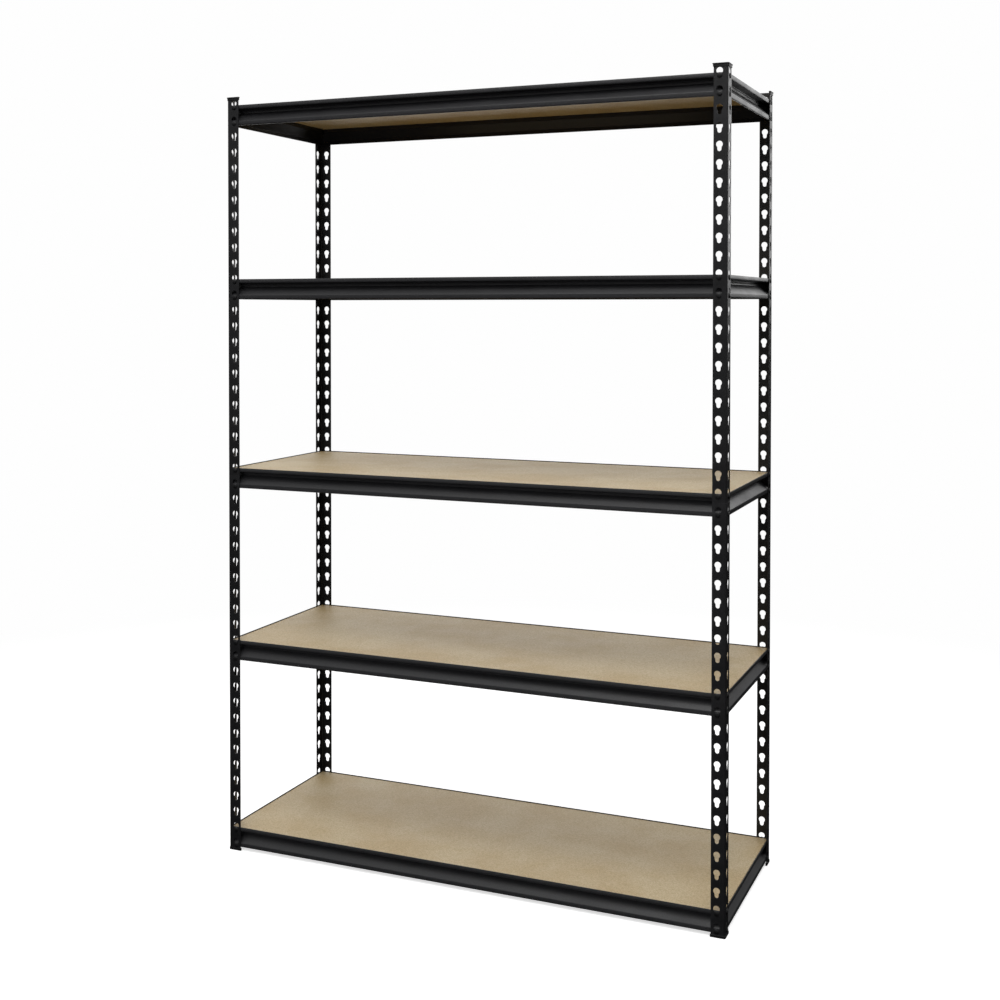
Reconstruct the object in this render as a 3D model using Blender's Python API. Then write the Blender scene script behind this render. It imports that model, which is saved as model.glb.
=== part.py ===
"""Boltless steel shelving: four keyhole angle posts in two halves each, five rings
of riveted beams hooked into the keyholes, and five loose particle boards.

Metres, +Z up. The origin is on the floor, under the middle of the unit. The long
side runs along X and the front faces -Y.
"""

import math

import bmesh
import bpy
from mathutils import Matrix, Vector

# Overall size: 48 x 18 x 72 inches over the posts.
WIDTH = 1.2192
DEPTH = 0.4572
HEIGHT = 1.8288
GAP = 0.0003  # between pieces that touch

# Angle posts.
POST_FLANGE = 0.0305
POST_SHEET = 0.0015
POST_SPLICE_Z = HEIGHT / 2

# Keyholes, punched down both flanges of every post.
PITCH = 0.0381
HOLES_PER_HALF = 24
FIRST_HOLE_TOP_Z = 1.8200
HOLE_FROM_CORNER = 0.0180
HOLE_TOP_HALF_WIDTH = 0.0032
HOLE_ROUND_RADIUS = 0.0072
HOLE_WIDEST_DROP = 0.0058
HOLE_SHOULDER_DROP = 0.0128
HOLE_SHOULDER_HALF_WIDTH = 0.0050
HOLE_LENGTH = 0.0216
HOLE_END_HALF_WIDTH = 0.0032

# Rivets, fixed in the beam ends, wedged in the tapered slots of the keyholes.
RIVET_DROP = 0.0165  # from the top of a keyhole to the rivet centre
RIVET_SIDES = 6
RIVET_SHANK_RADIUS = 0.0040
RIVET_HEAD_RADIUS = 0.0056
RIVET_HEAD_HEIGHT = 0.0022

# Rolled beams: upper band, ledge for the board, web, sloping face, lower band, lip.
BEAM_SHEET = 0.0012
BEAM_ABOVE_RIVET = 0.0056
BEAM_HEIGHT = 0.0484
BEAM_BAND_HEIGHT = 0.0094
BEAM_LEDGE_DEPTH = 0.0200
BEAM_WEB_FOOT_DROP = 0.0182
BEAM_SLOPE_FOOT_DROP = 0.0382
BEAM_LIP_DEPTH = 0.0040

# Shelf number 1 is the lowest: the index of the keyhole that its upper rivets use,
# counted down from the top of the post.
SHELF_UPPER_HOLES = (46, 34, 23, 11, 0)

# Boards, loose on the ledges.
BOARD_THICKNESS = 0.0065
BOARD_SIDE_CLEARANCE = 0.0015

# Moulded end caps and feet.
CAP_TOP_THICKNESS = 0.0022
CAP_HEIGHT = 0.0078
CAP_TOP_OVERHANG = 0.0024
CAP_RIM_OVERHANG = 0.0012
FOOT_BASE_THICKNESS = 0.0020
FOOT_HEIGHT = 0.0060
MOULDED_WALL = 0.0010

POWDER_COAT = ("black_powder_coat", (0.016, 0.016, 0.018), 0.42, 0.0)
PARTICLE_BOARD = ("particle_board", (0.46, 0.36, 0.23), 0.75, 0.0)
BLACK_PLASTIC = ("black_moulded_plastic", (0.012, 0.012, 0.012), 0.55, 0.0)

# Post corners: name, sign of X, sign of Y, turn about Z of the front left pattern.
CORNERS = (
    ("front_left", -1, -1, 0.0),
    ("front_right", 1, -1, math.pi / 2),
    ("rear_right", 1, 1, math.pi),
    ("rear_left", -1, 1, -math.pi / 2),
)


def clear_scene():
    for obj in list(bpy.data.objects):
        bpy.data.objects.remove(obj, do_unlink=True)


def make_material(finish):
    name, colour, roughness, metallic = finish
    material = bpy.data.materials.new(name)
    material.use_nodes = True
    shader = material.node_tree.nodes["Principled BSDF"]
    shader.inputs["Base Color"].default_value = (*colour, 1.0)
    shader.inputs["Roughness"].default_value = roughness
    shader.inputs["Metallic"].default_value = metallic
    return material


def add_object(name, mesh, material=None, location=(0, 0, 0), turn=0.0, parent=None):
    obj = bpy.data.objects.new(name, mesh)
    bpy.context.scene.collection.objects.link(obj)
    if material and not mesh.materials:
        mesh.materials.append(material)
    obj.location = location
    obj.rotation_euler = (0, 0, turn)
    if parent:
        obj.parent = parent
        obj.matrix_parent_inverse = Matrix.Translation(-Vector(parent.location))
    return obj


def add_empty(name, location):
    empty = bpy.data.objects.new(name, None)
    bpy.context.scene.collection.objects.link(empty)
    empty.location = location
    return empty


def prism(bm, outline, offset):
    """Adds the closed solid between an outline and its copy moved by offset."""
    near = [bm.verts.new(point) for point in outline]
    face = bm.faces.new(near)
    moved = bmesh.ops.extrude_face_region(bm, geom=[face])["geom"]
    far = [item for item in moved if isinstance(item, bmesh.types.BMVert)]
    bmesh.ops.translate(bm, verts=far, vec=offset)


def finished_mesh(name, bm):
    bmesh.ops.recalc_face_normals(bm, faces=bm.faces)
    mesh = bpy.data.meshes.new(name)
    bm.to_mesh(mesh)
    bm.free()
    return mesh


def boolean_mesh(name, base, tool, operation):
    """The mesh left when one solid is cut from, or joined to, another."""
    target = add_object(name + "_base", base)
    helper = add_object(name + "_tool", tool)
    helper.hide_render = True
    helper.display_type = "WIRE"
    modifier = target.modifiers.new("Boolean", "BOOLEAN")
    modifier.operation = operation
    modifier.solver = "EXACT"
    modifier.object = helper
    graph = bpy.context.evaluated_depsgraph_get()
    result = bpy.data.meshes.new_from_object(target.evaluated_get(graph))
    result.name = name
    bpy.data.objects.remove(target)
    bpy.data.objects.remove(helper)
    return result


def keyhole_outline(top_z):
    """Half widths and heights down one keyhole, as (across, z) points."""
    right = (
        (HOLE_TOP_HALF_WIDTH, 0.0),
        (HOLE_ROUND_RADIUS, HOLE_WIDEST_DROP),
        (HOLE_SHOULDER_HALF_WIDTH, HOLE_SHOULDER_DROP),
        (HOLE_END_HALF_WIDTH, HOLE_LENGTH),
    )
    points = [(x, top_z - drop) for x, drop in right]
    return points + [(-x, z) for x, z in reversed(points)]


def post_mesh(name, bottom_z, top_z, first_hole):
    """An angle with its corner on the Z axis and its flanges along +X and +Y."""
    inner = POST_SHEET
    section = (
        (0, 0),
        (POST_FLANGE, 0),
        (POST_FLANGE, inner),
        (inner, inner),
        (inner, POST_FLANGE),
        (0, POST_FLANGE),
    )
    bm = bmesh.new()
    prism(bm, [(x, y, bottom_z) for x, y in section], (0, 0, top_z - bottom_z))
    angle = finished_mesh(name + "_angle", bm)

    reach = POST_SHEET * 2
    start = -POST_SHEET / 2
    bm = bmesh.new()
    for hole in range(first_hole, first_hole + HOLES_PER_HALF):
        outline = keyhole_outline(FIRST_HOLE_TOP_Z - PITCH * hole)
        along_x = [(HOLE_FROM_CORNER + a, start, z) for a, z in outline]
        along_y = [(start, HOLE_FROM_CORNER + a, z) for a, z in outline]
        prism(bm, along_x, (0, reach, 0))
        prism(bm, along_y, (reach, 0, 0))
    punches = finished_mesh(name + "_punches", bm)
    return boolean_mesh(name, angle, punches, "DIFFERENCE")


def beam_section():
    """(depth inwards, drop below the top edge) round the rolled sheet."""
    sheet = BEAM_SHEET
    ledge = BEAM_BAND_HEIGHT
    deep = BEAM_LEDGE_DEPTH
    slope_rise = BEAM_SLOPE_FOOT_DROP - BEAM_WEB_FOOT_DROP
    slope_angle = math.atan2(slope_rise, deep)
    # A sheet of constant thickness round the two ends of the sloping face.
    web_shift = sheet * math.tan(slope_angle / 2)
    foot_shift = sheet * math.tan((math.pi / 2 - slope_angle) / 2)
    outer = [
        (0, 0),
        (0, ledge),
        (deep, ledge),
        (deep, BEAM_WEB_FOOT_DROP),
        (0, BEAM_SLOPE_FOOT_DROP),
        (0, BEAM_HEIGHT),
        (BEAM_LIP_DEPTH, BEAM_HEIGHT),
    ]
    inner = [
        (BEAM_LIP_DEPTH, BEAM_HEIGHT - sheet),
        (sheet, BEAM_HEIGHT - sheet),
        (sheet, BEAM_SLOPE_FOOT_DROP + foot_shift),
        (deep + sheet, BEAM_WEB_FOOT_DROP + web_shift),
        (deep + sheet, ledge - sheet),
        (sheet, ledge - sheet),
        (sheet, 0),
    ]
    return outer + inner


def beam_mesh(name, length):
    """A beam along X with its outer face on Y = 0, facing -Y, and mitred ends."""
    section = beam_section()
    half = length / 2
    bm = bmesh.new()
    ends = []
    for side in (-1, 1):
        end = [(side * (half - depth), depth, -drop) for depth, drop in section]
        ends.append([bm.verts.new(point) for point in end])
    close_rings(bm, ends)
    rolled = finished_mesh(name + "_rolled", bm)

    rivet_x = half + GAP + POST_SHEET + GAP - HOLE_FROM_CORNER
    bm = bmesh.new()
    for side in (-1, 1):
        for drop in (BEAM_ABOVE_RIVET, BEAM_ABOVE_RIVET + PITCH):
            add_rivet(bm, side * rivet_x, -drop)
    rivets = finished_mesh(name + "_rivets", bm)
    return boolean_mesh(name, rolled, rivets, "UNION")


def add_rivet(bm, x, z):
    """A rivet along Y, from inside the beam's sheet to its head outside the post."""
    head_under = -(POST_SHEET + GAP * 2)
    profile = (
        (RIVET_SHANK_RADIUS, BEAM_SHEET / 2),
        (RIVET_SHANK_RADIUS, head_under),
        (RIVET_HEAD_RADIUS, head_under),
        (RIVET_HEAD_RADIUS, head_under - RIVET_HEAD_HEIGHT),
    )
    rings = []
    for radius, y in profile:
        ring = []
        for i in range(RIVET_SIDES):
            angle = 2 * math.pi * i / RIVET_SIDES
            corner = (x + radius * math.cos(angle), y, z + radius * math.sin(angle))
            ring.append(bm.verts.new(corner))
        rings.append(ring)
    close_rings(bm, rings)


def close_rings(bm, rings):
    """Skins a row of rings that match point for point, and closes both ends."""
    bm.faces.new(rings[0])
    bm.faces.new(rings[-1])
    count = len(rings[0])
    for one, other in zip(rings, rings[1:]):
        for i in range(count):
            j = (i + 1) % count
            bm.faces.new((one[i], one[j], other[j], other[i]))


def angle_outline(start, reach, inner):
    """An L that starts at (start, start), reaches along +X and +Y, inner wide."""
    return (
        (start, start),
        (reach, start),
        (reach, inner),
        (inner, inner),
        (inner, reach),
        (start, reach),
    )


def socket_mesh(name, closed_z, wall_z, mouth_z, base_overhang, mouth_overhang):
    """A moulded L-shaped socket for a post end, open at mouth_z.

    closed_z is the outside of the closed end and wall_z its inside.
    """
    end_outline = angle_outline(
        -base_overhang,
        POST_FLANGE + base_overhang,
        POST_SHEET + GAP + MOULDED_WALL,
    )
    mouth_outline = angle_outline(
        -mouth_overhang,
        POST_FLANGE + mouth_overhang,
        POST_SHEET + GAP + MOULDED_WALL,
    )
    pocket = angle_outline(-GAP, POST_FLANGE + GAP, POST_SHEET + GAP)
    bm = bmesh.new()
    rings = []
    for outline, z in (
        (end_outline, closed_z),
        (mouth_outline, mouth_z),
        (pocket, mouth_z),
        (pocket, wall_z),
    ):
        rings.append([bm.verts.new((x, y, z)) for x, y in outline])
    close_rings(bm, rings)
    return finished_mesh(name, bm)


def build_posts(coat):
    foot_top = FOOT_BASE_THICKNESS + GAP
    cap_under = HEIGHT - CAP_TOP_THICKNESS - GAP
    halves = (
        ("lower", foot_top, POST_SPLICE_Z - GAP / 2, HOLES_PER_HALF),
        ("upper", POST_SPLICE_Z + GAP / 2, cap_under, 0),
    )
    for half, bottom_z, top_z, first_hole in halves:
        mesh = post_mesh(half + "_post", bottom_z, top_z, first_hole)
        for corner, sign_x, sign_y, turn in CORNERS:
            place = (sign_x * WIDTH / 2, sign_y * DEPTH / 2, 0)
            add_object(f"{corner}_{half}_post", mesh, coat, place, turn)


def build_caps_and_feet(plastic):
    cap = socket_mesh(
        "top_cap",
        HEIGHT,
        HEIGHT - CAP_TOP_THICKNESS,
        HEIGHT - CAP_HEIGHT,
        CAP_TOP_OVERHANG,
        CAP_RIM_OVERHANG,
    )
    foot_overhang = GAP + MOULDED_WALL
    foot = socket_mesh(
        "foot", 0.0, FOOT_BASE_THICKNESS, FOOT_HEIGHT, foot_overhang, foot_overhang
    )
    for corner, sign_x, sign_y, turn in CORNERS:
        place = (sign_x * WIDTH / 2, sign_y * DEPTH / 2, 0)
        add_object(f"{corner}_top_cap", cap, plastic, place, turn)
        add_object(f"{corner}_foot", foot, plastic, place, turn)


def board_mesh():
    inset = POST_SHEET + GAP + BEAM_SHEET + BOARD_SIDE_CLEARANCE
    x = WIDTH / 2 - inset
    y = DEPTH / 2 - inset
    bm = bmesh.new()
    outline = ((-x, -y, 0), (x, -y, 0), (x, y, 0), (-x, y, 0))
    prism(bm, outline, (0, 0, BOARD_THICKNESS))
    return finished_mesh("shelf_board", bm)


def build_shelves(coat, board_material):
    face = POST_SHEET + GAP  # from a post's outer face to a beam's outer face
    long_beam = beam_mesh("long_beam", WIDTH - 2 * (face + GAP))
    short_beam = beam_mesh("short_beam", DEPTH - 2 * (face + GAP))
    board = board_mesh()
    sides = (
        ("front", long_beam, (0, face - DEPTH / 2), 0.0),
        ("right", short_beam, (WIDTH / 2 - face, 0), math.pi / 2),
        ("rear", long_beam, (0, DEPTH / 2 - face), math.pi),
        ("left", short_beam, (face - WIDTH / 2, 0), -math.pi / 2),
    )
    for number, hole in enumerate(SHELF_UPPER_HOLES, start=1):
        rivet_z = FIRST_HOLE_TOP_Z - PITCH * hole - RIVET_DROP
        top_z = rivet_z + BEAM_ABOVE_RIVET
        ring = add_empty(f"shelf_{number}_frame", (0, 0, top_z))
        for side, mesh, (x, y), turn in sides:
            name = f"shelf_{number}_{side}_beam"
            add_object(name, mesh, coat, (x, y, top_z), turn, ring)
        board_z = top_z - BEAM_BAND_HEIGHT + BEAM_SHEET + GAP
        add_object(
            f"shelf_{number}_board", board, board_material, (0, 0, board_z), 0.0, ring
        )


def main():
    clear_scene()
    coat = make_material(POWDER_COAT)
    plastic = make_material(BLACK_PLASTIC)
    board_material = make_material(PARTICLE_BOARD)
    build_posts(coat)
    build_caps_and_feet(plastic)
    build_shelves(coat, board_material)


main()
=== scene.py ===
"""Boltless steel shelving, finished: punched and folded posts, rolled beams with their
rivets, sawn particle boards, moulded caps and feet.

Metres, +Z up. The origin is on the floor under the middle, and the front faces -Y.
"""

import math
import random

import bmesh
import bpy
from mathutils import Matrix, Vector


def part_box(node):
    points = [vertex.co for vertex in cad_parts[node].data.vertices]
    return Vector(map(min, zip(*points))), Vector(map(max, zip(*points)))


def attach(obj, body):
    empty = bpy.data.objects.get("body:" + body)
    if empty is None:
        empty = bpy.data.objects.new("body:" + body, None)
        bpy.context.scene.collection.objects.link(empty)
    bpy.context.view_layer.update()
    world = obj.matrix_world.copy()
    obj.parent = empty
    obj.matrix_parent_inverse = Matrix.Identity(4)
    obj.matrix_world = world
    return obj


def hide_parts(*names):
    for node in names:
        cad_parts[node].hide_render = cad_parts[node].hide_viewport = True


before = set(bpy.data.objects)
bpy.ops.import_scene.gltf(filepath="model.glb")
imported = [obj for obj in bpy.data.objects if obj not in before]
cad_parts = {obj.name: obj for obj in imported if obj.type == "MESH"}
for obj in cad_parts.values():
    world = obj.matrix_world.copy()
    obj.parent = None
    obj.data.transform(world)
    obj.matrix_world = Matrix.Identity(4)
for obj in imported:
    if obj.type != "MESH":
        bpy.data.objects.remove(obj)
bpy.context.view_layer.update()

MM = 0.001
GAP = 0.3 * MM  # between pieces that touch

# Posts: punched flat, then folded.
POST_FLANGE = 30.5 * MM
POST_SHEET = 1.5 * MM
POST_BEND = 2.4 * MM  # outside radius of the fold
BEND_STEPS = 5
PUNCHED_EDGE = 0.2 * MM
PITCH = 38.1 * MM
HOLES_PER_HALF = 24
FIRST_HOLE_TOP_Z = 1820 * MM
HOLE_FROM_CORNER = 18 * MM
HOLE_MARGIN = 6.3 * MM  # from a keyhole's top to the top of its stretch of post
HOLE_LENGTH = 21.6 * MM
HOLE_RADIUS = 7.1 * MM
HOLE_SHOULDER = 4.6 * MM  # half the slot's width where it leaves the round head
HOLE_FOOT_RADIUS = 4.3 * MM
HEAD_STEPS = 9
FOOT_STEPS = 5

# Beams: one strip of sheet, rolled.
BEAM_SHEET = 1.2 * MM
BEAM_BAND = 9.4 * MM
BEAM_LEDGE = 20 * MM
BEAM_WEB_FOOT = 18.2 * MM
BEAM_SLOPE_FOOT = 38.2 * MM
BEAM_HEIGHT = 48.4 * MM
BEAM_LIP = 4 * MM
BEAM_BEAD = 1.2 * MM  # how far the stiffening bead stands out of the web
BEAM_BEAD_HALF = 1.6 * MM
BEAM_BEND = 1.9 * MM  # radius at the middle of the sheet
BEAD_BEND = 1 * MM
BEAM_END_PLATE = 1 * MM  # closes the hollow under the ledge at each mitre

# Rivets.
RIVET_FROM_TOP = 5.6 * MM
RIVET_SHANK = 4 * MM
RIVET_HEAD = 5.6 * MM
RIVET_RIM = 0.7 * MM
RIVET_HEIGHT = 2.2 * MM
RIVET_TAIL = 4.9 * MM
RIVET_TAIL_HEIGHT = 0.9 * MM
RIVET_STEPS = 28
DOME_STEPS = 5

# Caps and feet.
CAP_PLATE = 2.2 * MM
CAP_OVERHANG = 2.4 * MM
CAP_RIM = 1.2 * MM
FOOT_SOLE = 2 * MM
MOULDED_WALL = 1 * MM
MOULDED_EDGE = 0.35 * MM
MOULDED_FILLET = 0.6 * MM  # radius of the outline's smaller corners
MOULDED_CORNER = 0.8 * MM  # least radius at the post's corner

# Boards: sawn edges, their arrises broken unevenly.
SAW_STEP = 8 * MM
ARRIS = 0.5  # mm, how far down the broken arris reaches
SHALLOWEST_NICK = 0.25  # mm
DEEPEST_NICK = 0.7  # mm

CORNERS = (
    ("front_left", -1, -1, 0.0),
    ("front_right", 1, -1, math.pi / 2),
    ("rear_right", 1, 1, math.pi),
    ("rear_left", -1, 1, -math.pi / 2),
)
SIDES = (
    ("front", 0.0),
    ("right", math.pi / 2),
    ("rear", math.pi),
    ("left", -math.pi / 2),
)
SHELVES = range(1, 6)

cap_low, cap_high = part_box("front_right_top_cap")
foot_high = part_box("front_right_foot")[1]
POST_CORNER = Vector((cap_high.x - CAP_OVERHANG, -cap_low.y - CAP_OVERHANG, 0))


# Colour and material tools.


def linear(code):
    """An sRGB hex colour as linear RGBA."""
    channels = [int(code[i : i + 2], 16) / 255 for i in (1, 3, 5)]
    curve = [c / 12.92 if c <= 0.04045 else ((c + 0.055) / 1.055) ** 2.4 for c in channels]
    return (*curve, 1.0)


def per_mm(size):
    """Texture scale that gives one cell, or one wave, for each size in millimetres."""
    return 1 / (size * MM)


def add(tree, kind, settings=None, **links):
    """Adds a node. settings are its properties or input values; links name its inputs."""
    node = tree.nodes.new("ShaderNode" + kind)
    for key, value in (settings or {}).items():
        if isinstance(key, str) and hasattr(node, key):
            setattr(node, key, value)
        else:
            node.inputs[key].default_value = value
    for key, source in links.items():
        name = key.replace("_", " ")
        socket = node.inputs[int(key[1:])] if key[1:].isdigit() else node.inputs[name]
        tree.links.new(source, socket)
    return node


def ramp(tree, factor, *stops):
    """A colour ramp from (place, hex colour) stops."""
    node = add(tree, "ValToRGB", Fac=factor)
    elements = node.color_ramp.elements
    while len(elements) < len(stops):
        elements.new(0.5)
    for element, (place, code) in zip(elements, stops):
        element.position = place
        element.color = linear(code)
    return node.outputs["Color"]


def start_material(name, **sockets):
    """A Principled material and its tree, with the values that are the same all over."""
    material = bpy.data.materials.new(name)
    material.use_nodes = True
    tree = material.node_tree
    shader = tree.nodes["Principled BSDF"]
    for key, value in sockets.items():
        shader.inputs[key.replace("_", " ")].default_value = value
    return material, tree, shader


def piece_coordinates(tree):
    """The piece's own coordinates, shifted so that no two pieces share a pattern."""
    place = add(tree, "TexCoord").outputs["Object"]
    which = add(tree, "ObjectInfo").outputs["Random"]
    shift = add(tree, "VectorMath", {"operation": "SCALE", 0: (3.1, 5.7, 9.3)}, Scale=which)
    moved = add(tree, "VectorMath", {"operation": "ADD"}, _0=place, _1=shift.outputs[0])
    return moved.outputs[0]


def noise(tree, place, size, detail=2.0, roughness=0.5):
    """Noise with features of about this size in millimetres, from 0 to 1."""
    settings = {"Scale": per_mm(size), "Detail": detail, "Roughness": roughness}
    return add(tree, "TexNoise", settings, Vector=place).outputs["Fac"]


def powder_coat():
    """Polyester powder coat, baked on sheet steel: semi-gloss black with a fine orange peel,
    dull in patches, rubbed grey where sheet edges catch."""
    material, tree, shader = start_material(
        "black_powder_coated_steel", IOR=1.5, Specular_IOR_Level=0.5
    )
    place = piece_coordinates(tree)
    cloud = noise(tree, place, 90, 3)
    fleck = noise(tree, place, 2.4, 4, 0.6)
    mixed = add(tree, "Mix", {"data_type": "RGBA", 0: 0.35}, _6=cloud, _7=fleck)
    colour = ramp(tree, mixed.outputs[2], (0.3, "#0a0a0b"), (0.55, "#101012"), (0.75, "#161618"))
    rub = add(tree, "NewGeometry").outputs["Pointiness"]
    rubbed = ramp(tree, rub, (0.5, "#000000"), (0.62, "#ffffff"))
    scuffed = add(tree, "Math", {"operation": "MULTIPLY"}, _0=rubbed, _1=fleck)
    grey = {"data_type": "RGBA", 7: linear("#3a3a3c")}
    worn = add(tree, "Mix", grey, _0=scuffed.outputs[0], _6=colour)
    tree.links.new(worn.outputs[2], shader.inputs["Base Color"])
    sheen = {"From Min": 0.3, "From Max": 0.7, "To Min": 0.38, "To Max": 0.48}
    dull = add(tree, "MapRange", sheen, Value=cloud)
    tree.links.new(dull.outputs[0], shader.inputs["Roughness"])
    # Orange peel is about 1 mm from crest to crest and a few hundredths deep.
    peel = noise(tree, place, 1.1, 2, 0.4)
    bump = add(tree, "Bump", {"Strength": 0.35, "Distance": 0.05 * MM}, Height=peel)
    tree.links.new(bump.outputs[0], shader.inputs["Normal"])
    return material


def rivet_steel():
    """Cold-headed steel rivets, coated black with the beam: a thin coat over a fine grain,
    duller and a little paler in specks."""
    material, tree, shader = start_material("black_coated_rivet", IOR=1.5)
    place = piece_coordinates(tree)
    grain = noise(tree, place, 0.8, 4, 0.6)
    colour = ramp(tree, grain, (0.35, "#0b0b0c"), (0.6, "#111113"), (0.8, "#1c1c1e"))
    tree.links.new(colour, shader.inputs["Base Color"])
    dull = add(tree, "MapRange", {"To Min": 0.38, "To Max": 0.58}, Value=grain)
    tree.links.new(dull.outputs[0], shader.inputs["Roughness"])
    bump = add(tree, "Bump", {"Strength": 0.4, "Distance": 0.05 * MM}, Height=grain)
    tree.links.new(bump.outputs[0], shader.inputs["Normal"])
    return material


def chip_pattern(tree, place, size):
    """Wood chips of about this size in millimetres: each cell's own grey, and its rim."""
    wander = add(tree, "TexNoise", {"Scale": per_mm(size * 2), "Detail": 3.0}, Vector=place)
    push = {"blend_type": "LINEAR_LIGHT", 0: 0.35 * size * MM}
    bent = add(tree, "MixRGB", push, _1=place, _2=wander.outputs[1])
    chips = add(tree, "TexVoronoi", {"Scale": per_mm(size)}, Vector=bent.outputs[0])
    tone = add(tree, "SeparateColor", Color=chips.outputs["Color"])
    return tone.outputs[0], chips.outputs["Distance"]


def board_face():
    """Three-layer particle board, pressed and sanded: fine pale wood chips in resin, tan with
    a few dark bark flecks, dry and matt."""
    material, tree, shader = start_material("sanded_particle_board", IOR=1.45)
    place = piece_coordinates(tree)
    tone = chip_pattern(tree, place, 2.2)[0]
    dust = noise(tree, place, 0.9, 5, 0.65)
    cloud = noise(tree, place, 130, 2)
    tones = add(tree, "Mix", {"data_type": "FLOAT", 0: 0.5}, _2=tone, _3=dust)
    chips = ramp(tree, tones.outputs[0], (0.1, "#ab9566"), (0.45, "#c3ad83"), (0.9, "#d6c49c"))
    warmth = ramp(tree, cloud, (0.35, "#f2ead9"), (0.65, "#ffffff"))
    tint = {"data_type": "RGBA", "blend_type": "MULTIPLY", 0: 1.0}
    shaded = add(tree, "Mix", tint, _6=chips, _7=warmth)
    bark = noise(tree, place, 3.5, 2, 0.7)
    flecks = ramp(tree, bark, (0.7, "#000000"), (0.76, "#ffffff"))
    brown = {"data_type": "RGBA", 7: linear("#7d6238")}
    flecked = add(tree, "Mix", brown, _0=flecks, _6=shaded.outputs[2])
    tree.links.new(flecked.outputs[2], shader.inputs["Base Color"])
    dull = add(tree, "MapRange", {"To Min": 0.5, "To Max": 0.7}, Value=dust)
    tree.links.new(dull.outputs[0], shader.inputs["Roughness"])
    bump = add(tree, "Bump", {"Strength": 0.3, "Distance": 0.1 * MM}, Height=tones.outputs[0])
    tree.links.new(bump.outputs[0], shader.inputs["Normal"])
    return material


def board_edge():
    """The sawn edge of the same board: coarse chips and open pores of the core layer."""
    material, tree, shader = start_material("sawn_particle_board_edge", IOR=1.45, Roughness=0.9)
    place = piece_coordinates(tree)
    tone, rim = chip_pattern(tree, place, 3.2)
    chips = ramp(tree, tone, (0.0, "#8a6f42"), (0.5, "#b3986a"), (1.0, "#d8c698"))
    pores = ramp(tree, rim, (0.45, "#ffffff"), (0.75, "#5e4a2c"))
    shade = {"data_type": "RGBA", "blend_type": "MULTIPLY", 0: 0.8}
    colour = add(tree, "Mix", shade, _6=chips, _7=pores)
    tree.links.new(colour.outputs[2], shader.inputs["Base Color"])
    bump = add(tree, "Bump", {"Strength": 0.8, "Distance": 0.4 * MM, "invert": True}, Height=rim)
    tree.links.new(bump.outputs[0], shader.inputs["Normal"])
    return material


def moulded_plastic():
    """Injection-moulded polypropylene, black: spark-eroded mould texture, soft sheen."""
    material, tree, shader = start_material("black_moulded_polypropylene", IOR=1.49)
    place = piece_coordinates(tree)
    grain = noise(tree, place, 0.7, 3, 0.6)
    cloud = noise(tree, place, 14, 2)
    colour = ramp(tree, cloud, (0.3, "#111112"), (0.7, "#19191a"))
    tree.links.new(colour, shader.inputs["Base Color"])
    dull = add(tree, "MapRange", {"To Min": 0.42, "To Max": 0.62}, Value=grain)
    tree.links.new(dull.outputs[0], shader.inputs["Roughness"])
    bump = add(tree, "Bump", {"Strength": 0.5, "Distance": 0.08 * MM}, Height=grain)
    tree.links.new(bump.outputs[0], shader.inputs["Normal"])
    return material


# Mesh tools.


def finished_mesh(name, bm, sharp_degrees=35):
    mesh = bpy.data.meshes.new(name)
    bm.to_mesh(mesh)
    bm.free()
    mesh.shade_smooth()
    mesh.set_sharp_from_angle(angle=math.radians(sharp_degrees))
    return mesh


def add_piece(name, mesh, body, node, place=(0, 0, 0), turn=0.0):
    """A piece that stands for a node of the frame and rides on its body."""
    piece = bpy.data.objects.new(name, mesh)
    bpy.context.scene.collection.objects.link(piece)
    piece.location = place
    piece.rotation_euler = (0, 0, turn)
    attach(piece, body)
    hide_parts(node)
    return piece


def rounded(points, radii, steps, closed=False):
    """A path with its corners rounded, as (point, normal to the left) pairs."""
    path = []
    count = len(points)
    for i, point in enumerate(points):
        if not closed and i in (0, count - 1):
            along = points[1] - points[0] if i == 0 else points[-1] - points[-2]
            path.append((point, left_of(along)))
            continue
        before = (point - points[i - 1]).normalized()
        after = (points[(i + 1) % count] - point).normalized()
        turn = math.atan2(before.x * after.y - before.y * after.x, before.dot(after))
        radius = radii[i]
        back = radius * math.tan(abs(turn) / 2)
        side = 1 if turn > 0 else -1
        centre = point - before * back + left_of(before) * radius * side
        for step in range(steps + 1):
            angle = turn * step / steps
            normal = left_of(Matrix.Rotation(angle, 2) @ before)
            path.append((centre - normal * radius * side, normal))
    return path


def left_of(direction):
    return Vector((-direction.y, direction.x)).normalized()


def skin(bm, rings):
    """Joins rings that match point for point, and closes the two ends."""
    count = len(rings[0])
    for one, other in zip(rings, rings[1:]):
        for i in range(count):
            j = (i + 1) % count
            bm.faces.new((one[i], one[j], other[j], other[i]))
    bm.faces.new(rings[0])
    bm.faces.new(rings[-1])
    bmesh.ops.recalc_face_normals(bm, faces=bm.faces)


# Posts.


def keyhole_side():
    """Half a keyhole, from the middle of its head to the middle of its foot, as
    (across, drop) points."""
    shoulder = math.asin(HOLE_SHOULDER / HOLE_RADIUS)
    side = []
    for step in range(HEAD_STEPS + 1):
        turn = (math.pi - shoulder) * step / HEAD_STEPS
        side.append((HOLE_RADIUS * math.sin(turn), HOLE_RADIUS * (1 - math.cos(turn))))
    foot = HOLE_LENGTH - HOLE_FOOT_RADIUS
    x, drop = side[-1]
    side.append(((x + HOLE_FOOT_RADIUS) / 2, (drop + foot) / 2))
    for step in range(FOOT_STEPS + 1):
        turn = math.pi / 2 * step / FOOT_STEPS
        side.append((HOLE_FOOT_RADIUS * math.cos(turn), foot + HOLE_FOOT_RADIUS * math.sin(turn)))
    return side


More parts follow.
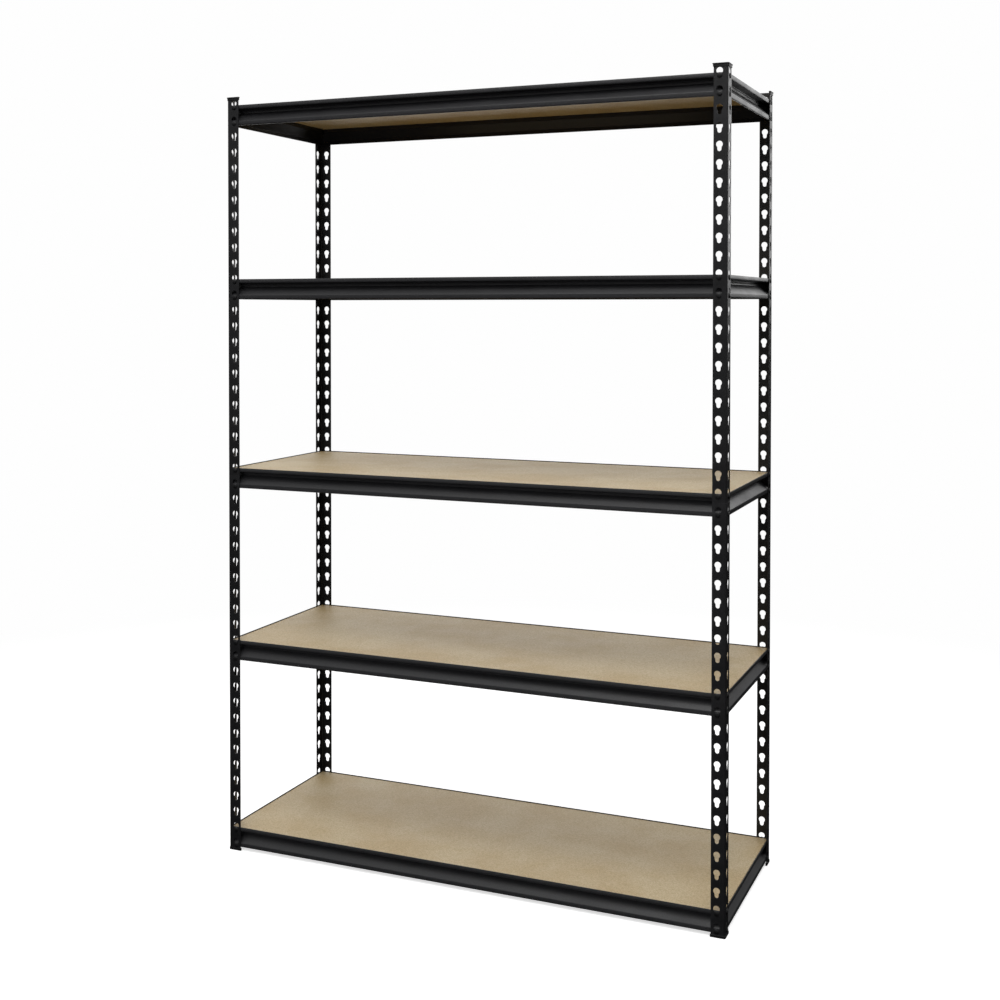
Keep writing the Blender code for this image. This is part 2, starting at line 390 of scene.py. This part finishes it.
def stretch_side(edge, top, bottom):
    """Half the outline of the stretch of post round a keyhole, with as many points as the
    half keyhole: a quarter of them along the top, half down the edge, a quarter below."""
    quarter = (HEAD_STEPS + FOOT_STEPS + 2) // 4
    side = [(edge * i / quarter, top) for i in range(quarter)]
    side += [(edge, top + (bottom - top) * i / quarter / 2) for i in range(quarter * 2)]
    side += [(edge * (1 - i / quarter), bottom) for i in range(quarter + 1)]
    return side


def fold(s, z):
    """Where a point of the flat strip goes when it is folded: s is measured across the
    strip from the middle of the fold, and the strip's face becomes the angle's outside."""
    half_fold = POST_BEND * math.pi / 4
    if abs(s) > half_fold:
        run = POST_BEND + abs(s) - half_fold
        return (run, 0, z) if s > 0 else (0, run, z)
    turn = math.pi / 4 - s / POST_BEND
    return (POST_BEND * (1 - math.sin(turn)), POST_BEND * (1 - math.cos(turn)), z)


def post_mesh(name, low_z, high_z, first_hole):
    """Half a post with its corner on the Z axis and its flanges along +X and +Y."""
    half_fold = POST_BEND * math.pi / 4
    centre = HOLE_FROM_CORNER - POST_BEND + half_fold
    free_edge = POST_FLANGE - POST_BEND + half_fold
    bm = bmesh.new()
    levels = []
    for hole in range(first_hole, first_hole + HOLES_PER_HALF):
        hole_top = FIRST_HOLE_TOP_Z - PITCH * hole
        top = hole_top + HOLE_MARGIN
        bottom = top - PITCH
        if hole == first_hole:
            top = high_z
        if hole == first_hole + HOLES_PER_HALF - 1:
            bottom = low_z
        to_fold = stretch_side(centre - half_fold, top, bottom)
        to_edge = stretch_side(free_edge - centre, top, bottom)
        levels += [z for x, z in to_fold if math.isclose(x, centre - half_fold)]
        for flange in (-1, 1):
            for way, outline in ((-1, to_fold), (1, to_edge)):
                hole_loop = [(centre + way * x, hole_top - d) for x, d in keyhole_side()]
                rim = [(centre + way * x, z) for x, z in outline]
                add_strip(bm, flange, rim, hole_loop)
    across = [half_fold * (2 * i / BEND_STEPS - 1) for i in range(BEND_STEPS + 1)]
    levels = sorted(set(round(z, 7) for z in levels))
    for z, next_z in zip(levels, levels[1:]):
        for s, next_s in zip(across, across[1:]):
            corners = ((s, z), (next_s, z), (next_s, next_z), (s, next_z))
            bm.faces.new([bm.verts.new(fold(*corner)) for corner in corners])
    bmesh.ops.remove_doubles(bm, verts=bm.verts, dist=0.01 * MM)
    bm.normal_update()
    inside = Vector((1, 1, 0))
    turned_in = [face for face in bm.faces if face.normal.dot(inside) > 0]
    bmesh.ops.reverse_faces(bm, faces=turned_in)
    return finished_mesh(name, bm)


def add_strip(bm, flange, rim, hole_loop):
    """Faces between half a stretch's outline and half its keyhole."""
    for i in range(len(rim) - 1):
        corners = (rim[i], rim[i + 1], hole_loop[i + 1], hole_loop[i])
        bm.faces.new([bm.verts.new(fold(flange * s, z)) for s, z in corners])


def build_posts(coat):
    halves = (("lower", HOLES_PER_HALF), ("upper", 0))
    for half, first_hole in halves:
        low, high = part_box(f"front_left_{half}_post")
        mesh = post_mesh(f"{half}_post_sheet", low.z, high.z, first_hole)
        mesh.materials.append(coat)
        for corner, sign_x, sign_y, turn in CORNERS:
            node = f"{corner}_{half}_post"
            place = (sign_x * POST_CORNER.x, sign_y * POST_CORNER.y, 0)
            post = add_piece(f"{node}_punched", mesh, "posts", node, place, turn)
            thicken(post, POST_SHEET)
            soften(post, PUNCHED_EDGE)


def thicken(piece, sheet):
    modifier = piece.modifiers.new("sheet", "SOLIDIFY")
    modifier.thickness = sheet
    modifier.offset = -1
    modifier.use_even_offset = True


def soften(piece, width):
    modifier = piece.modifiers.new("edge", "BEVEL")
    modifier.width = width
    modifier.segments = 2
    modifier.limit_method = "ANGLE"
    modifier.angle_limit = math.radians(50)
    modifier.harden_normals = True


# Beams and their rivets.


def rolled_ring():
    """The closed outline of the rolled sheet, as (depth inwards, drop) points."""
    bead = (BEAM_BAND + BEAM_WEB_FOOT) / 2
    face = (
        (0, 0),
        (0, BEAM_BAND),
        (BEAM_LEDGE, BEAM_BAND),
        (BEAM_LEDGE, bead - BEAM_BEAD_HALF),
        (BEAM_LEDGE - BEAM_BEAD, bead),
        (BEAM_LEDGE, bead + BEAM_BEAD_HALF),
        (BEAM_LEDGE, BEAM_WEB_FOOT),
        (0, BEAM_SLOPE_FOOT),
        (0, BEAM_HEIGHT),
        (BEAM_LIP, BEAM_HEIGHT),
    )
    face = [Vector(point) for point in face]
    bends = [BEAD_BEND if 3 <= i <= 5 else BEAM_BEND for i in range(len(face))]
    middle = rounded(shifted(face, -BEAM_SHEET / 2), bends, 4)
    half = BEAM_SHEET / 2
    outer = [point + normal * half for point, normal in middle]
    inner = [point - normal * half for point, normal in middle]
    return outer + sheet_end(*middle[-1], 1) + inner[::-1] + sheet_end(*middle[0], -1)


def shifted(path, distance):
    """An open path moved to its left by a distance, keeping its corners."""
    moved = []
    for i, point in enumerate(path):
        before = left_of(path[max(i, 1)] - path[max(i, 1) - 1])
        last = len(path) - 2
        after = left_of(path[min(i, last) + 1] - path[min(i, last)])
        moved.append(point + (before + after) * distance / (1 + before.dot(after)))
    return moved


def sheet_end(point, normal, way):
    """Two points that round a sheared edge of the sheet."""
    along = Vector((normal.y, -normal.x)) * way
    across = normal * way
    half = BEAM_SHEET / 2
    return [point + (across * side + along * 0.5) * half for side in (0.6, -0.6)]


def beam_mesh(name, length):
    """A beam along X with its outer face on Y = 0, facing -Y, and mitred ends."""
    ring = rolled_ring()
    bm = bmesh.new()
    ends = []
    for side in (-1, 1):
        end = [(side * (length / 2 - max(depth, 0)), depth, -drop) for depth, drop in ring]
        ends.append([bm.verts.new(point) for point in end])
    skin(bm, ends)
    inset = BEAM_SHEET / 2
    hollow = (
        (inset, BEAM_BAND - inset),
        (BEAM_LEDGE + inset, BEAM_BAND - inset),
        (BEAM_LEDGE + inset, BEAM_WEB_FOOT + inset / 2),
        (inset, BEAM_SLOPE_FOOT + inset / 2),
    )
    for side in (-1, 1):
        plate = []
        for back in (0.1 * MM, BEAM_END_PLATE):
            at = length / 2 - back
            plate.append([bm.verts.new((side * (at - d), d, -drop)) for d, drop in hollow])
        skin(bm, plate)
    return finished_mesh(name, bm, 60)


def rivet_profile():
    """From the end of the tail, inside the beam, to the top of the head: (radius, y)."""
    under = -(POST_SHEET + GAP * 2)
    tail_end = BEAM_SHEET + RIVET_TAIL_HEIGHT
    profile = [
        (RIVET_TAIL * 0.7, tail_end),
        (RIVET_TAIL * 0.93, tail_end - RIVET_TAIL_HEIGHT * 0.3),
        (RIVET_TAIL, BEAM_SHEET),
        (RIVET_SHANK, BEAM_SHEET),
        (RIVET_SHANK, under),
        (RIVET_HEAD * 0.97, under),
        (RIVET_HEAD, under - RIVET_RIM * 0.3),
    ]
    dome = RIVET_HEIGHT - RIVET_RIM
    for step in range(DOME_STEPS):
        turn = math.pi / 2 * step / DOME_STEPS
        profile.append((RIVET_HEAD * math.cos(turn), under - RIVET_RIM - dome * math.sin(turn)))
    return profile


def rivets_mesh(name, length):
    """The four rivets of a beam, in the beam's own coordinates."""
    rivet_x = length / 2 + GAP + POST_SHEET + GAP - HOLE_FROM_CORNER
    bm = bmesh.new()
    for side in (-1, 1):
        for drop in (RIVET_FROM_TOP, RIVET_FROM_TOP + PITCH):
            rings = []
            for radius, y in rivet_profile():
                ring = []
                for step in range(RIVET_STEPS):
                    turn = 2 * math.pi * step / RIVET_STEPS
                    x = side * rivet_x + radius * math.cos(turn)
                    ring.append(bm.verts.new((x, y, radius * math.sin(turn) - drop)))
                rings.append(ring)
            skin(bm, rings)
    return finished_mesh(name, bm, 50)


def build_beams(coat, rivet):
    meshes = {}
    for side in ("front", "right"):
        low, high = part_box(f"shelf_1_{side}_beam")
        run = (high - low).x if side == "front" else (high - low).y
        beam = beam_mesh(f"{side}_beam_sheet", run)
        rivets = rivets_mesh(f"{side}_beam_rivets", run)
        beam.materials.append(coat)
        rivets.materials.append(rivet)
        meshes[side] = (beam, rivets)
    meshes["rear"], meshes["left"] = meshes["front"], meshes["right"]
    face = POST_SHEET + GAP
    for shelf in SHELVES:
        for side, turn in SIDES:
            node = f"shelf_{shelf}_{side}_beam"
            body = f"shelf_{shelf}_frame"
            top_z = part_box(node)[1].z
            out = POST_CORNER.y if side in ("front", "rear") else POST_CORNER.x
            place = Matrix.Rotation(turn, 3, "Z") @ Vector((0, face - out, 0))
            place.z = top_z
            beam, rivets = meshes[side]
            add_piece(f"{node}_rolled", beam, body, node, place, turn)
            add_piece(f"{node}_rivets", rivets, body, node, place, turn)


# Boards.


def board_mesh(name, half_x, half_y, thickness, seed):
    """A sawn board with its corners on the given half sizes and its top on Z = thickness.
    Its arrises are broken unevenly, a few tenths of a millimetre deep."""
    pick = random.Random(seed)
    corners = [(-half_x, -half_y), (half_x, -half_y), (half_x, half_y), (-half_x, half_y)]
    corners = [Vector(corner) for corner in corners]
    outline = []
    for i, corner in enumerate(corners):
        run = corners[(i + 1) % 4] - corner
        count = round(run.length / SAW_STEP)
        inward = left_of(run)
        for k in range(count):
            way = inward if k else inward + left_of(corner - corners[i - 1])
            outline.append((corner + run * k / count, way))
    bm = bmesh.new()
    rings = []
    top = thickness / MM
    for z, way_in in ((0, 1), (ARRIS, 0), (top - ARRIS, 0), (top, 1)):
        ring = []
        for point, inward in outline:
            nick = pick.uniform(SHALLOWEST_NICK, DEEPEST_NICK) * way_in
            x, y = point + inward * nick * MM
            ring.append(bm.verts.new((x, y, z * MM)))
        rings.append(ring)
    skin(bm, rings)
    for face in bm.faces:
        face.material_index = 0 if abs(face.normal.z) > 0.9 else 1
    return finished_mesh(name, bm, 25)


def build_boards(face, edge):
    for shelf in SHELVES:
        node = f"shelf_{shelf}_board"
        low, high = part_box(node)
        size = high - low
        mesh = board_mesh(f"{node}_sawn", size.x / 2, size.y / 2, size.z, shelf)
        mesh.materials.append(face)
        mesh.materials.append(edge)
        place = ((low.x + high.x) / 2, (low.y + high.y) / 2, low.z)
        add_piece(f"{node}_chipboard", mesh, node, node, place)


# Caps and feet.


def angle_loop(start, reach, inner, corner_radius):
    """An L outline that starts at (start, start) and reaches along +X and +Y."""
    corners = [
        (start, start),
        (reach, start),
        (reach, inner),
        (inner, inner),
        (inner, reach),
        (start, reach),
    ]
    corners = [Vector(corner) for corner in corners]
    radii = [corner_radius] + [MOULDED_FILLET] * 5
    return [point for point, normal in rounded(corners, radii, 4, closed=True)]


def socket_mesh(name, stations):
    """A moulded socket from (z, overhang, inner width) stations, from its closed end
    round its mouth to the end of its pocket."""
    bm = bmesh.new()
    rings = []
    for z, overhang, inner in stations:
        corner = max(POST_BEND + overhang, MOULDED_CORNER)
        loop = angle_loop(-overhang, POST_FLANGE + overhang, inner, corner)
        rings.append([bm.verts.new((point.x, point.y, z)) for point in loop])
    skin(bm, rings)
    return finished_mesh(name, bm, 40)


def build_caps_and_feet(plastic):
    wall = POST_SHEET + GAP + MOULDED_WALL
    pocket = POST_SHEET + GAP
    edge = MOULDED_EDGE
    top, mouth = cap_high.z, cap_low.z
    cap = socket_mesh(
        "top_cap_moulding",
        (
            (top, CAP_OVERHANG - edge * 2, wall - edge),
            (top - edge * 0.6, CAP_OVERHANG - edge * 0.6, wall - edge * 0.3),
            (top - edge * 2, CAP_OVERHANG, wall),
            (top - CAP_PLATE * 0.8, CAP_OVERHANG, wall),
            (top - CAP_PLATE, CAP_OVERHANG - edge, wall),
            (top - CAP_PLATE - edge, CAP_RIM + edge, wall),
            (mouth + edge, CAP_RIM, wall),
            (mouth, CAP_RIM - edge, wall - edge),
            (mouth, GAP, pocket),
            (top - CAP_PLATE, GAP, pocket),
        ),
    )
    overhang = GAP + MOULDED_WALL
    brim = foot_high.z
    foot = socket_mesh(
        "foot_moulding",
        (
            (0, overhang - edge * 2, wall - edge),
            (edge * 0.6, overhang - edge * 0.6, wall - edge * 0.3),
            (edge * 2, overhang, wall),
            (brim - edge, overhang, wall),
            (brim, overhang - edge, wall - edge),
            (brim, GAP, pocket),
            (FOOT_SOLE, GAP, pocket),
        ),
    )
    for kind, mesh in (("top_cap", cap), ("foot", foot)):
        mesh.materials.append(plastic)
        for corner, sign_x, sign_y, turn in CORNERS:
            node = f"{corner}_{kind}"
            place = (sign_x * POST_CORNER.x, sign_y * POST_CORNER.y, 0)
            add_piece(f"{node}_moulded", mesh, "posts", node, place, turn)


# Studio.

# Soft lamps: name, place, target, width, height, power in watts, whether they light matt
# surfaces and whether they show in the gloss.
LAMPS = (
    ("front_softbox", (0.2, -3.2, 4.0), (0, 0, 1), 2.4, 1.4, 13, True, True),
    ("overhead_softbox", (0.3, -1.9, 4.4), (0, 0, 1), 2.4, 1.4, 34, True, True),
    ("top_right_fill", (0.9, -1.0, 2.7), (0.4, -0.2, 1.7), 0.6, 0.6, 2.5, True, True),
    ("floor_bounce", (0, -2.2, 0.2), (0, 0, 1.8), 2.4, 1.4, 17, True, False),
    ("rear_right_card", (1.1, 1.7, 1.9), (0.65, 0, 1.6), 1.4, 1.1, 8.7, False, True),
    ("rear_left_card", (-1.6, 2.8, 1.3), (0, 0, 0.8), 3.4, 2, 45, False, True),
)
# What the surround shows the unit, from straight down (0) to straight up (1).
SURROUND = ((0.42, "#141414"), (0.5, "#1c1c1c"), (0.6, "#bcbcbc"), (0.85, "#e1e1e1"))


def build_floor():
    """A pale studio floor that fades into the pale surround away from the unit."""
    material, tree, shader = start_material("pale_studio_floor", Roughness=0.9)
    shader.inputs["Base Color"].default_value = linear("#f4f4f4")
    shader.inputs["Emission Color"].default_value = linear("#ffffff")
    shader.inputs["Emission Strength"].default_value = 0.62
    bpy.ops.mesh.primitive_circle_add(vertices=96, radius=60, fill_type="NGON")
    floor = bpy.context.object
    floor.name = "studio_floor"
    floor.data.materials.append(material)
    floor.visible_glossy = False
    floor.visible_diffuse = False
    place = add(tree, "TexCoord").outputs["Object"]
    reach = add(tree, "VectorMath", {"operation": "LENGTH"}, _0=place)
    fade = add(
        tree,
        "MapRange",
        {"From Min": 0.8, "From Max": 3.0, "interpolation_type": "SMOOTHSTEP"},
        Value=reach.outputs["Value"],
    )
    glow = add(tree, "Emission", {"Color": linear("#fefefe")})
    shown = add(tree, "MixShader", _0=fade.outputs[0], _1=shader.outputs[0], _2=glow.outputs[0])
    tree.links.new(shown.outputs[0], tree.nodes["Material Output"].inputs["Surface"])


def build_surround():
    """Pale to the eye; the light it gives the unit is dimmer, and less from below."""
    world = bpy.data.worlds.new("pale_studio_surround")
    bpy.context.scene.world = world
    world.use_nodes = True
    tree = world.node_tree
    tree.nodes.clear()
    way = add(tree, "SeparateXYZ", Vector=add(tree, "TexCoord").outputs["Generated"])
    height = add(tree, "MapRange", {"From Min": -1}, Value=way.outputs["Z"]).outputs[0]
    glow = ramp(tree, height, *SURROUND)
    lighting = add(tree, "Background", Color=glow)
    seen = add(tree, "Background", {"Color": linear("#fefefe")})
    eye = add(tree, "LightPath").outputs["Is Camera Ray"]
    both = add(tree, "MixShader", _0=eye, _1=lighting.outputs[0], _2=seen.outputs[0])
    add(tree, "OutputWorld", Surface=both.outputs[0])


def add_lamp(name, place, target, width, height, power, matt, gloss):
    light = bpy.data.lights.new(name, "AREA")
    light.shape = "RECTANGLE"
    light.size = width
    light.size_y = height
    light.energy = power
    lamp = bpy.data.objects.new(name, light)
    bpy.context.scene.collection.objects.link(lamp)
    lamp.location = place
    aim = Vector(target) - Vector(place)
    lamp.rotation_euler = aim.to_track_quat("-Z", "Y").to_euler()
    lamp.visible_camera = False
    lamp.visible_diffuse = matt
    lamp.visible_glossy = gloss


def build_studio():
    bpy.context.scene.view_settings.view_transform = "Standard"
    build_floor()
    build_surround()
    for lamp in LAMPS:
        add_lamp(*lamp)


def build_camera():
    data = bpy.data.cameras.new("camera")
    data.lens = 50.97
    data.sensor_width = 36
    data.shift_x = 0.0458
    data.shift_y = -0.163
    camera = bpy.data.objects.new("camera", data)
    bpy.context.scene.collection.objects.link(camera)
    camera.location = (1.286, -3.141, 1.321)
    camera.rotation_euler = (math.radians(88.821), 0, math.radians(23.991))
    bpy.context.scene.camera = camera


def main():
    build_camera()
    build_studio()
    coat = powder_coat()
    build_posts(coat)
    build_beams(coat, rivet_steel())
    build_boards(board_face(), board_edge())
    build_caps_and_feet(moulded_plastic())


main()
